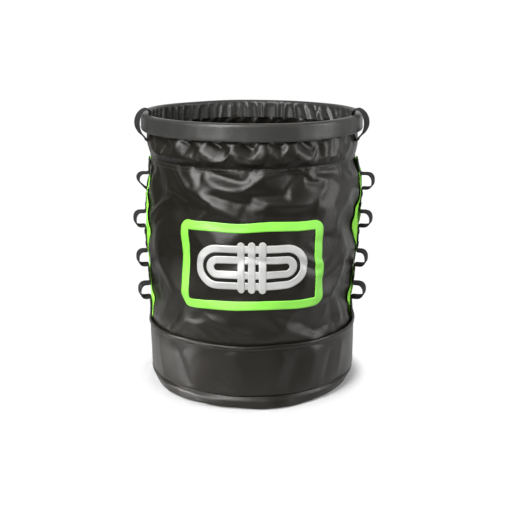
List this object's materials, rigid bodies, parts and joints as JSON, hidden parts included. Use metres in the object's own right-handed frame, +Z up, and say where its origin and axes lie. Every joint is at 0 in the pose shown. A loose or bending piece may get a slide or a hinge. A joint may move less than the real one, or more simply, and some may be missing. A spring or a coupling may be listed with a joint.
{
  "type": "rope storage bag",
  "caption": "Round open-topped rope bag of coated fabric, with a hooped rim, a heavy boot, daisy chains of webbing gear loops up both sides, and hoist loops over the rim.",
  "frame": {"origin": "centre of the base's underside, on the surface the bag stands on", "axes": "+Z up through the open mouth, -Y out of the labelled front, +X towards the daisy chain and hoist loop on the viewer's right, which sit 8 and 16 degrees forward of the side"},
  "size_m": [0.3552, 0.321, 0.4035],
  "materials": {
    "boot_fabric": "satin",
    "wall_fabric": "satin",
    "rim_fabric": "satin",
    "black_webbing": "matte",
    "green_webbing": "matte",
    "green_film": "satin",
    "silver_film": "satin",
    "base_board": "matte",
    "hoop_tube": "satin"
  },
  "bodies": {
    "bag": {"base_panel": "boot_fabric", "boot_band": "boot_fabric", "boot_binding": "boot_fabric", "front_wall": "wall_fabric", "back_wall": "wall_fabric", "collar": "wall_fabric", "daisy_chain_left": "black_webbing", "daisy_chain_right": "black_webbing", "backing_strip_left": "green_webbing", "backing_strip_right": "green_webbing", "label_border": "green_film", "label_emblem": "silver_film", "base_board": "base_board"},
    "rim": {"rim_sleeve": "rim_fabric", "rim_hoop": "hoop_tube", "hoop_splice": "hoop_tube", "hoist_loop_left": "black_webbing", "hoist_loop_right": "black_webbing"}
  },
  "joints": [
    {"name": "rim_collapse", "type": "slide", "parent": "bag", "child": "rim", "axis": [0, 0, 1], "range_m": [-0.2, 0], "deforming": ["front_wall", "back_wall", "collar", "backing_strip_left", "backing_strip_right", "daisy_chain_left", "daisy_chain_right", "label_border", "label_emblem"]}
  ]
}
